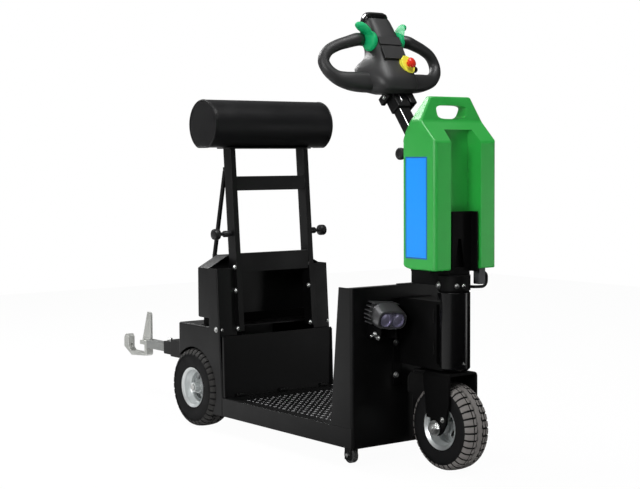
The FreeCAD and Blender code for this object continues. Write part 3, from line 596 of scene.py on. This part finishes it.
def tyre(name, node, body, bead, tread, pitches=36):
    """A turned carcass with two rows of blocks on each shoulder and a zig-zag rib between."""
    low, high = measured(node)
    centre = (low + high) / 2
    radius = (high.z - low.z) / 2
    shape = bmesh.new()
    wall = [(34, bead - 1), (40, bead + 1), (41, bead + 5), (42.5, bead + 12), (44, radius - 34),
            (43.5, radius - 24), (42.5, radius - 20), (42.5, radius - 17.5), (39, radius - 12.5),
            (33, radius - 9), (24, radius - 6.5), (12, radius - 5.2)]
    section = [(-a, r) for a, r in wall] + [(a, r) for a, r in reversed(wall)]
    section += [(30, bead - 2), (-30, bead - 2)]
    lathe(shape, section, centre, (0, 1, 0), 96, closed=True)
    turn = math.tau / pitches
    gap = 5.6 / radius
    for step in range(pitches):
        for side, shift in ((-1, 0.0), (1, 0.5)):
            start = turn * (step + shift)
            for rows in ((23.2, 28, 35, 40, 43.6), (12.2, 16, 20.2)):
                tread_block(shape, centre, radius, start, start + turn - gap,
                            [side * across for across in rows])
    rib = []
    for step in range(pitches * 2):
        angle = turn * step / 2 - gap / 2
        out, inn = (9.6, 7.0) if step % 2 else (7.0, 9.6)
        rib.append((angle, -out, inn))
        rib.append((angle + turn * 0.5 - 0.012, -out, inn))
    rings = []
    for angle, left, right in rib:
        rings.append([Vector(centre) + Vector((math.cos(angle) * (radius + level), across,
                                               math.sin(angle) * (radius + level)))
                      for across, level in ((left, -6), (left, -0.6), (left + 0.7, 0),
                                            (right - 0.7, 0), (right, -0.6), (right, -6))])
    loft(shape, rings, closed=True, paint=1)
    return new_piece(name, shape, [tyre_rubber, tread], body, [node], crease=40)


dark_tread = grained(plain_finish("tyre_tread_rear", (0.03, 0.029, 0.028), 0.8, specular=0.25),
                     0.002, 0.0001, 0.75, 0.9, patch=40)
tyre("right_tyre_rubber", "right_tyre", "right_wheel", 67, dark_tread)
tyre("left_tyre_rubber", "left_tyre", "left_wheel", 67, dark_tread)


def pressed_rim(name, node, body, outward, lip, bead, hub, windows=5):
    """Two pressed halves: rolled lips, a drop centre and a dished disc with round windows."""
    low, high = measured(node)
    centre = (low + high) / 2
    shape = bmesh.new()
    barrel = [(-41, lip - 3), (-42.5, lip - 0.5), (-41, lip), (-39.5, lip - 1.5), (-38, bead + 1),
              (-34, bead - 2), (-20, bead - 4), (-14, bead - 9), (14, bead - 9), (20, bead - 4),
              (34, bead - 2), (38, bead + 1), (39.5, lip - 1.5), (41, lip), (42.5, lip - 0.5),
              (41, lip - 3), (36, bead - 4), (19, bead - 7), (13, bead - 12), (-13, bead - 12),
              (-19, bead - 7), (-36, bead - 4)]
    lathe(shape, barrel, centre, (0, 1, 0), 64, closed=True)
    face = 6 * outward
    steps = windows * 12
    radii = [hub + 1, hub + 6, hub + 10, bead - 20, bead - 15, bead - 11]
    dish = [14, 13, 6, 0, -2, -8]
    rings = []
    for radius, rise in zip(radii, dish):
        rings.append([shape.verts.new(centre + Vector((math.cos(math.tau * k / steps) * radius,
                                                       face + outward * rise,
                                                       math.sin(math.tau * k / steps) * radius)))
                      for k in range(steps)])
    disc = []
    for level in range(len(rings) - 1):
        for k in range(steps):
            if level == 2 and 2 <= k % 12 < 10:
                continue
            after = (k + 1) % steps
            disc.append(shape.faces.new((rings[level][k], rings[level][after],
                                         rings[level + 1][after], rings[level + 1][k])))
    bmesh.ops.solidify(shape, geom=disc, thickness=3.0)
    lathe(shape, [(-38, hub), (-38, hub - 5), (38, hub - 5), (38, hub)], centre, (0, 1, 0), 40,
          closed=True)
    return new_piece(name, shape, rim_zinc, body, [node], crease=32)


rim_zinc = grained(plain_finish("rim_zinc", (0.76, 0.79, 0.79), 0.36, metallic=0.75, specular=0.7),
                   0.004, 0.00004, 0.3, 0.42, patch=30)
pressed_rim("right_rim_steel", "right_rim", "right_wheel", -1, 69, 64, 16)
pressed_rim("left_rim_steel", "left_rim", "left_wheel", 1, 69, 64, 16)
dress(zinc, "right_half_shaft", "left_half_shaft")


# Front wheel: the same block-tread tyre, paler where it rolls, on a zinc rim pressed with a
# slightly smaller bead. It turns freely on the fork's plain axle.
tyre("front_tyre_rubber", "front_tyre", "front_wheel", 65, tread_rubber)
pressed_rim("front_rim_steel", "front_rim", "front_wheel", -1, 68, 62, 17)


# Transaxle: the gearbox casting with its motor, painted dark grey over rounded cast edges. It
# hangs between the rear wheels and the half shafts run in it.
cast_grey = grained(plain_finish("painted_casting", (0.03, 0.03, 0.032), 0.55, specular=0.4),
                    0.0016, 0.0002, 0.5, 0.65)
dress(cast_grey, "transaxle", edge=5)


# Fork: a folded plate crown over two plate legs, on a steel stem; a zinc axle with large nuts.
# The mudguard is a grey moulded flap held under the crown.
# A darker, duller copy of the black powder coat: painted shade for the fork, the steering bracket
# and column, the battery bracket and the lamp foot.
shaded_powder_coat = grained(plain_finish("shaded_powder_coat", (0.0015, 0.0015, 0.0016), 0.5, specular=0.14),
                    0.0012, 0.00008, 0.45, 0.6)
# The fork wears the painted-shade copy of the powder coat.
dress(shaded_powder_coat, "fork")
dress(zinc, "front_axle", edge=0.8)
grey_plastic = grained(plain_finish("grey_plastic", (0.008, 0.008, 0.0082), 0.6, specular=0.25),
                       0.0012, 0.00005, 0.55, 0.7)
dress(grey_plastic, "mudguard", edge=2)
axle_z = (axle_low.z + axle_high.z) / 2
leg_face = 57
nuts = bmesh.new()
for side in (-1, 1):
    outward = (0, side, 0)
    lathe(nuts, [(0, 19), (3, 19)], (0, side * leg_face, axle_z), outward, 32)
    hex_screw(nuts, (0, side * (leg_face + 3), axle_z), outward, 30, 15)
    lathe(nuts, [(15, 9), (19, 9), (20, 8)], (0, side * leg_face, axle_z), outward, 24)
    button_screw(nuts, (29, side * leg_face, axle_z + 27), outward, 6)
new_piece("axle_nuts", nuts, zinc, "steering")


# Steering head: the bearing tube and its welded bracket, with stitch welds beside the tube, a
# grease nipple low on the front and a rubber seal round the stem at the top.
smooth_coat = plain_finish("smooth_coat", (0.002, 0.002, 0.0022), 0.2, specular=0.4)
dress(smooth_coat, "head_tube")
# The bracket wears the painted-shade copy of the powder coat.
dress(shaded_powder_coat, "head_bracket")
tube_low, tube_high = measured("head_tube")
steer_x = (tube_low.x + tube_high.x) / 2
welds = bmesh.new()
for low, high in ((345, 385), (437, 480)):
    for side in (-1, 1):
        path = [(steer_x - 33 + 1.2 * math.sin(step * 2.1), side * 49.5, low + step * 2.0)
                for step in range(int((high - low) / 2))]
        tube(welds, path, [1.5 + 0.5 * math.sin(step * 1.7) for step in range(len(path))], 8)
new_piece("stitch_welds", welds, powder_coat, "chassis")
nipple = bmesh.new()
out = Vector((0.994, -0.108, 0)).normalized()
root = Vector((steer_x, 0, 320)) + out * 47
lathe(nipple, [(0, 4), (3, 4), (3.2, 2.4), (6, 2.4), (7, 3), (9, 2.6), (10, 1.2)], root, out, 12)
new_piece("grease_nipple", nipple, zinc, "chassis")
seal = bmesh.new()
lathe(seal, [(-1, 30), (-1, 45), (7, 45), (7, 30)], (steer_x, 0, tube_high.z), (0, 0, 1), 40)
new_piece("bearing_seal", seal, seal_rubber_and_shade, "chassis")


# Anti-tip rollers: solid grey rubber wheels in small steel hangers under the floor's front
# corners. Each turns on a pin with a zinc hex nut at both ends.
roller_rubber = grained(plain_finish("roller_rubber", (0.035, 0.035, 0.036), 0.6, specular=0.4),
                        0.002, 0.00006, 0.5, 0.65)
dress(powder_coat, "roller_forks")
dress(roller_rubber, "right_roller", "left_roller", edge=2.5)
pins = bmesh.new()
for roller in ("right_roller", "left_roller"):
    low, high = measured(roller)
    for way in (-1, 1):
        lathe(pins, [(0, 7), (4, 7), (5, 5)], (low + high) / 2 + Vector((0, way * 14, 0)),
              (0, way, 0), 6)
new_piece("roller_pins", pins, zinc, "chassis")


# Headlight: an oval work lamp with a finned black casting, two round reflectors behind a clear
# lens, and a steel foot bolted to the panel.
lamp_centre = Vector((-97, -140, 444))


def oval(centre, wide, high, power=3.2, steps=48):
    """A rounded oval standing across the truck."""
    ring = []
    for step in range(steps):
        angle = math.tau * step / steps
        c, s = math.cos(angle), math.sin(angle)
        ring.append(Vector(centre) + Vector((0, math.copysign(abs(c) ** (2 / power), c) * wide,
                                             math.copysign(abs(s) ** (2 / power), s) * high)))
    return ring


cast_black = grained(plain_finish("cast_black", (0.16, 0.16, 0.165), 0.34, 0.8, specular=0.7),
                     0.0012, 0.00008, 0.3, 0.42)
nod = (Matrix.Translation(lamp_centre) @ Matrix.Rotation(math.radians(10), 4, "Y")
       @ Matrix.Rotation(math.radians(-5), 4, "X"))
lamp = bmesh.new()
shell = [(-6, 47, 21, 0), (1, 47.5, 21.5, 0), (3, 51, 24.5, 0), (1, 54, 27.5, 0), (-8, 56, 30, 1),
         (-22, 56, 33, 4), (-34, 52, 35, 8), (-38, 44, 31, 10), (-64, 40, 28, 11)]
loft(lamp, [[nod @ point for point in oval((x, 0, up), w, h)] for x, w, h, up in shell])
fin_pitch, fin_thick = 12, 3.2
for level in range(6):
    low, reach = -22 + fin_pitch * level, 57 - 2.2 * abs(level - 2.4) ** 1.6
    block(lamp, (-66, -34), (-reach, reach), (low, low + fin_thick), nod)
new_piece("headlight_casting", lamp, cast_black, "chassis", ["headlight"])
foot = bmesh.new()
foot_right, foot_left = lamp_centre.y - 32, lamp_centre.y + 32
foot_plate = 4
block(foot, (panel_face, panel_face + foot_plate), (foot_right, foot_left), (386, 414))
for cheek in (foot_right, foot_left - foot_plate):
    block(foot, (panel_face, lamp_centre.x - 16), (cheek, cheek + foot_plate), (386, 426))
# The lamp foot wears the painted-shade copy of the powder coat.
soften(new_piece("headlight_foot", foot, shaded_powder_coat, "chassis"), 1.0)
lamp_screws = bmesh.new()
for forward, z, across, high in ((34, 401, 12, 8), (50, 392, 9, 7), (16, 393, 6, 4)):
    hex_screw(lamp_screws, (panel_face + forward, foot_right, z), (0, -1, 0), across, high)
new_piece("headlight_screws", lamp_screws, zinc, "chassis")

reflector = plain_finish("reflector", (0.42, 0.4, 0.5), 0.3, metallic=0.8)
bowl_painted_glow = reflector.node_tree.nodes["Principled BSDF"]
# A faint painted glow in the reflector bowls, standing in for light reflected in them.
bowl_painted_glow.inputs["Emission Color"].default_value = (0.75, 0.72, 1.0, 1)
bowl_painted_glow.inputs["Emission Strength"].default_value = 0.03
bowls = bmesh.new()
bowl = [(-1, 21), (5, 20.5), (5.5, 18.5), (1, 17), (3, 13), (4.6, 8), (5.2, 0.5)]
for side in (-1, 1):
    lathe(bowls, bowl, nod @ Vector((-5, side * 23, 0)), nod.to_3x3() @ Vector((1, 0, 0)), 32)
new_piece("headlight_bowls", bowls, reflector, "chassis")
glass = plain_finish("lens_glass", (0.92, 0.92, 0.97), 0.03)
pane = glass.node_tree.nodes["Principled BSDF"]
pane.inputs["Transmission Weight"].default_value = 1.0
pane.inputs["IOR"].default_value = 1.45
cover = bmesh.new()
loft(cover, [[nod @ point for point in oval((a, 0, 0), w, h)]
             for a, w, h in ((1, 47, 21), (3.5, 46.5, 20.5), (5, 43, 18))])
new_piece("headlight_glass", cover, glass, "chassis", ["headlight_lens"])


# Steering column: a thick collar clamped on the stem, with an arm and a post that carry the
# battery and the tiller's pivot. Socket screws close the collar.
# The column and the battery bracket wear the painted-shade copy of the powder coat.
dress(shaded_powder_coat, "steering_column", "battery_bracket")
collar = bmesh.new()
collar_radius = 48.3
for turn, size in ((-107, 8.5), (-32, 5.5), (-7, 5.5)):
    out = Vector((math.cos(math.radians(turn)), math.sin(math.radians(turn)), 0))
    button_screw(collar, Vector((steer_x, 0, 548)) + out * collar_radius, out, size)
new_piece("collar_screws", collar, zinc, "steering")


# Battery: a rotationally moulded green case with a carry handle through its top, a deep channel
# down its front for the bracket's tongue, and a blank blue label on its right side.
case_green = grained(plain_finish("case_green", (0.021, 0.37, 0.05), 0.4, specular=0.8),
                     0.0016, 0.00005, 0.32, 0.44)
battery_low, battery_high = measured("battery")
case_x = battery_high.x


def cut_with(piece, shape, operation):
    """Keep what a piece shares with a shape, or take the shape out of it."""
    helper = bpy.data.objects.new("cutter", skin("cutter", shape))
    bpy.context.scene.collection.objects.link(helper)
    cutter = piece.modifiers.new("cutter", "BOOLEAN")
    cutter.operation = operation
    cutter.solver = "EXACT"
    cutter.object = helper
    settle(piece)
    bpy.data.objects.remove(helper)
    clean = bmesh.new()
    clean.from_mesh(piece.data)
    bmesh.ops.remove_doubles(clean, verts=clean.verts, dist=0.0006)
    bmesh.ops.dissolve_limit(clean, angle_limit=math.radians(1), verts=clean.verts,
                             edges=clean.edges)
    clean.to_mesh(piece.data)
    clean.free()


def settle(piece):
    """Turn a piece's modifiers into its own mesh."""
    bpy.context.view_layer.update()
    finished = piece.evaluated_get(bpy.context.evaluated_depsgraph_get())
    made = bpy.data.meshes.new_from_object(finished)
    piece.modifiers.clear()
    piece.data = made


half, floor, neck, top = battery_high.y + 2, battery_low.z, 1024, battery_high.z
case = bmesh.new()
prism(case, "XZ", [(case_x + x, z) for x, z in (
    (-144, floor + 16), (-134, floor + 5), (-110, floor), (0, floor), (0, 965), (-60, neck),
    (-66, top), (-88, top), (-110, neck), (-130, 995), (-144, 962))], -half - 4, half + 4)
case = new_piece("battery_case", case, case_green, "steering", ["battery"])
front_view = bmesh.new()
prism(front_view, "YZ", [(-half, floor - 1), (half, floor - 1), (half, neck), (77, top + 1),
                         (-77, top + 1), (-half, neck)], case_x - 150, case_x + 6)
cut_with(case, front_view, "INTERSECT")
weights = case.data.attributes.new("bevel_weight_edge", "FLOAT", "EDGE")
for edge in case.data.edges:
    low, high = (case.data.vertices[end].co for end in edge.vertices)
    weights.data[edge.index].value = 1.0 if abs(high.z - low.z) > 0.3 else 0.45
case.data.update()
rounds = case.modifiers.new("rounds", "BEVEL")
rounds.limit_method = "WEIGHT"
rounds.width = 0.014
rounds.segments = 5
settle(case)
channel = bmesh.new()
channel_plan = ((-51, -54), (30, -63), (30, 63), (-51, 54))
loft(channel, [[Vector((case_x + x, y * narrowing, z)) for x, y in channel_plan]
               for z, narrowing in ((floor - 20, 1.0), (top - 96, 0.97))])
cut_with(case, channel, "DIFFERENCE")
grip = bmesh.new()
grip_half, grip_flare, grip_z, grip_rise = 58, 4, 1051, 20
outline = []
for step in range(32):
    c, s = math.cos(math.tau * step / 32), math.sin(math.tau * step / 32)
    up = math.copysign(abs(s) ** 0.5, s)
    outline.append((math.copysign(abs(c) ** 0.5, c) * (grip_half + grip_flare * up),
                    grip_z + up * grip_rise))
prism(grip, "YZ", outline, case_x - 160, case_x + 40)
cut_with(case, grip, "DIFFERENCE")
soften(case, 3.0, segments=3, angle=40)
settle(case)
case.data.shade_smooth()
case.data.set_sharp_from_angle(angle=math.radians(38))
broad = case.modifiers.new("broad_faces_flat", "WEIGHTED_NORMAL")
broad.keep_sharp = True
broad.weight = 100
settle(case)
label_blue = plain_finish("label_blue", (0.010, 0.30, 0.93), 0.3)
label_edge = plain_finish("label_edge", (0.01, 0.10, 0.42), 0.35)
label_face = -half
for name, finish, inset, behind, before in (("label_border", label_edge, 0, -0.5, 0.4),
                                            ("label_field", label_blue, 4, 0, 0.7)):
    label = bmesh.new()
    back, front = case_x - 127 + inset, case_x - 33 - inset
    low, high = 628 + inset, 922 - inset
    prism(label, "XZ", [(back, low), (front, low), (front, high), (back, high)],
          label_face - before, label_face - behind)
    soften(new_piece(name, label, finish, "steering"), 0.2)


# Battery lead: a moulded grey plug under the case, and a round black rubber cable that loops
# from it to the battery's tray.
plug_grey = plain_finish("plug_grey", (0.05, 0.052, 0.055), 0.4)
dress(plug_grey, "battery_connector", edge=2)
cable_black = grained(plain_finish("cable_black", (0.009, 0.009, 0.009), 0.45),
                      0.002, 0.00004, 0.4, 0.5)
dress(cable_black, "battery_cable", edge=0.1)


# Tiller: a square steel stem on the pivot, with a clamp sleeve under the head and a
# tapered plastic knob that locks its tilt.
dress(powder_coat, "tiller_stem")
knob_low, knob_high = measured("tilt_knob")
pivot = (knob_low + knob_high) / 2
pivot.y = 0
lean = Matrix.Translation(pivot) @ Matrix.Rotation(math.radians(-37.5), 4, "Y")
sleeve = bmesh.new()
block(sleeve, (-20, 22), (-25, 25), (166, 226), lean)
block(sleeve, (-30, 16), (-40, -25), (206, 232), lean)
block(sleeve, (-26, 26), (25, 52), (176, 226), lean)
soften(new_piece("stem_sleeve", sleeve, powder_coat, "tiller"), 3.0)
clamp = bmesh.new()
across = lean.to_3x3() @ Vector((0, -1, 0))
button_screw(clamp, lean @ Vector((-4, -40, 219)), across, 5)
tube(clamp, [lean @ Vector((16.5, -21, h)) for h in (60, 158)], 1.6, 8)
tube(clamp, [lean @ Vector((23, -4, h)) for h in (186, 224)], 1.2, 8)
new_piece("stem_screws", clamp, zinc, "tiller")
knob = bmesh.new()
lathe(knob, [(-50, 8), (52, 8), (54, 12), (57, 16.5), (63, 18), (70, 18), (72.5, 16),
             (72.6, 10), (71, 9)], (pivot.x, -24, pivot.z), (0, -1, 0), 28)
new_piece("tilt_lock_knob", knob, black_plastic, "steering", ["tilt_knob"])


# Control head: a two-shell moulded casing lofted up the lean, a wide grip loop that grows out
# of its foot, green thumb levers each side, a glossy cap, the stop button and the key switch.
soft_touch = grained(plain_finish("soft_touch", (0.018, 0.018, 0.0185), 0.5, specular=0.5),
                     0.0009, 0.00006, 0.44, 0.58)
gloss_black = plain_finish("gloss_black", (0.004, 0.004, 0.004), 0.15)


def shell_ring(z, front, back, half_front, half_back, power=4.0, steps=40):
    """One level of the casing: a rounded trapezoid between its front and back."""
    ring = []
    for step in range(steps):
        angle = math.tau * step / steps
        c, s = math.cos(angle), math.sin(angle)
        a = math.copysign(abs(c) ** (2 / power), c)
        b = math.copysign(abs(s) ** (2 / power), s)
        x = (front + back) / 2 + a * (front - back) / 2
        half = half_back + (half_front - half_back) * (a + 1) / 2
        ring.append(Vector((x, b * half, z)))
    return ring


head = bmesh.new()
loft(head, [shell_ring(*level) for level in (
    (1112, -232, -300, 44, 50), (1117, -216, -312, 60, 76), (1128, -206, -322, 68, 92),
    (1147, -206, -330, 70, 104), (1168, -215, -337, 68, 114), (1190, -230, -340, 62, 112),
    (1204, -240, -337, 58, 98), (1215, -246, -336, 56, 78), (1228, -253, -341, 55, 60),
    (1245, -261, -349, 54, 52), (1261, -268, -356, 53, 50), (1290, -281, -361, 49, 47),
    (1314, -296, -362, 45, 45), (1338, -313, -360, 41, 43), (1347, -321, -356, 38, 41))])
new_piece("control_casing", head, soft_touch, "tiller", ["tiller_head"], crease=40)
cap = bmesh.new()
loft(cap, [shell_ring(*level, power=3.4) for level in (
    (1300, -338, -374, 48, 44), (1338, -333, -376, 48, 43), (1352, -325, -374, 45, 40),
    (1361, -327, -370, 40, 36), (1367, -336, -364, 30, 28))])
new_piece("control_cap", cap, gloss_black, "tiller")
nameplate = bmesh.new()
slope = Matrix.Translation((-274, 0, 1276)) @ Matrix.Rotation(math.radians(-29), 4, "Y")
block(nameplate, (-3, 1.2), (-42, 42), (-14, 14), slope)
block(nameplate, (-3, 1.2), (-42, 42), (-64, -19), slope)
soften(new_piece("face_panels", nameplate, soft_touch, "tiller"), 1.0)

slant = Matrix.Translation((-322, 0, 1206)) @ Matrix.Rotation(math.radians(-15), 4, "Y")
# Half of the loop in its leaning plane: how far out, up and forward, and half its thickness.
course = [(40, 78, -6, 19), (68, 74, 12, 20), (100, 67, 28, 20), (133, 59, 24, 18.5),
          (170, 49, 16, 17.5), (203, 32, 9, 17.5), (220, 4, 4, 18), (213, -26, 8, 19),
          (190, -48, 12, 21),
          (163, -58, 15, 24), (130, -63, 17, 27), (90, -66, 19, 28), (40, -66, 20, 28)]


def smooth(points, between=6):
    """Points along a Catmull-Rom curve, each a tuple of the same length."""
    points = [Vector(point) for point in points]
    out = []
    for step in range(len(points) - 1):
        a = points[max(step - 1, 0)]
        b, c = points[step], points[step + 1]
        d = points[min(step + 2, len(points) - 1)]
        for k in range(between):
            t = k / between
            out.append(0.5 * ((2 * b) + (c - a) * t + (2 * a - 5 * b + 4 * c - d) * t * t
                              + (3 * b - a - 3 * c + d) * t ** 3))
    out.append(points[-1])
    return out


loop = bmesh.new()
for side in (-1, 1):
    track = smooth(course)
    rings = []
    for step, point in enumerate(track):
        ahead = track[min(step + 1, len(track) - 1)] - track[max(step - 1, 0)]
        out = Vector((0, side * ahead[1], -ahead[0])).normalized()
        squareness = 2 + 1.6 * min(max((point[3] - 20) / 8, 0), 1)
        ring = []
        for k in range(28):
            c, s = math.cos(math.tau * k / 28), math.sin(math.tau * k / 28)
            c = math.copysign(abs(c) ** (2 / squareness), c) * point[3] * 0.95
            s = math.copysign(abs(s) ** (2 / squareness), s) * point[3]
            ring.append(slant @ (Vector((point[2] + c, side * point[0], point[1])) + out * s))
        rings.append(ring)
    loft(loop, rings)
new_piece("grip_loop", loop, soft_touch, "tiller", ["hand_loop"], crease=60)

lever_green = grained(plain_finish("lever_green", (0.004, 0.38, 0.13), 0.5, specular=0.25),
                      0.001, 0.00004, 0.46, 0.56)
levers = bmesh.new()
for side in (-1, 1):
    lathe(levers, [(0, 26), (3, 30), (10, 31), (17, 29), (21, 23), (23, 10)],
          (-304, side * 44, 1274), (0, side, 0), 32)
    wing = smooth([(-303, 57, 1284, 26, 28), (-307, 62, 1298, 26, 28), (-312, 69, 1308, 24, 24),
                   (-315, 78, 1315, 19, 18), (-316, 88, 1318, 14, 13), (-316, 96, 1319, 7, 7)], 4)
    round_way = [(math.cos(math.tau * k / 20), math.sin(math.tau * k / 20)) for k in range(20)]
    loft(levers, [[Vector((x + deep * c, side * (y + 0.5 * tall * s), z + tall * s))
                   for c, s in round_way] for x, y, z, deep, tall in wing])
new_piece("butterfly_levers", levers, lever_green, "tiller", ["thumb_levers"], crease=60)

stop = Vector((-243, 39, 1200))
face_way = Vector((0.89, 0.22, 0.39)).normalized()
yellow = plain_finish("stop_yellow", (0.95, 0.9, 0.08), 0.35)
ring = bmesh.new()
lathe(ring, [(-10, 28), (6, 29), (8.5, 30), (10, 29), (10.5, 12)], stop, face_way, 40)
new_piece("stop_plate", ring, yellow, "tiller", ["stop_collar"])
red = plain_finish("stop_red", (0.72, 0.03, 0.015), 0.25)
mushroom = bmesh.new()
lathe(mushroom, [(8, 9), (17, 9), (18, 14), (20, 16), (24, 16.5), (28, 14), (31, 8), (32, 1)],
      stop, face_way, 32)
new_piece("stop_mushroom", mushroom, red, "tiller", ["stop_button"])
keys = bmesh.new()
key_low, key_high = measured("key_switch")
lock = (key_low + key_high) / 2
lathe(keys, [(-10, 10), (8, 10), (10, 9), (10.5, 5), (8, 4)], lock, (1, 0, 0), 28)
block(keys, (lock.x + 8, lock.x + 12), (lock.y - 1.2, lock.y + 1.2), (lock.z - 6, lock.z + 6))
new_piece("key_lock", keys, black_plastic, "tiller", ["key_switch"])


# Hitch: a black welded beam with a square socket, a zinc square bar through it and a flame-cut
# zinc hook with its tall guide fin.
dress(powder_coat, "hitch_beam")
bar_zinc = grained(plain_finish("bar_zinc", (0.62, 0.63, 0.60), 0.38, metallic=0.85),
                   0.003, 0.0001, 0.32, 0.5, patch=35)
bar_steel = grained(plain_finish("bar_steel", (0.36, 0.37, 0.36), 0.4, metallic=0.85),
                    0.003, 0.0001, 0.34, 0.5, patch=35)
dress(bar_zinc, "tow_hook", edge=1.2)
dress(bar_steel, "drawbar", edge=1.2)
hitch = bmesh.new()
bar_low, bar_high = measured("drawbar")
hex_screw(hitch, (bar_low.x + 156, 0, bar_high.z + 10), (0, 0, 1), 17, 10)
new_piece("hitch_screws", hitch, zinc, "chassis")
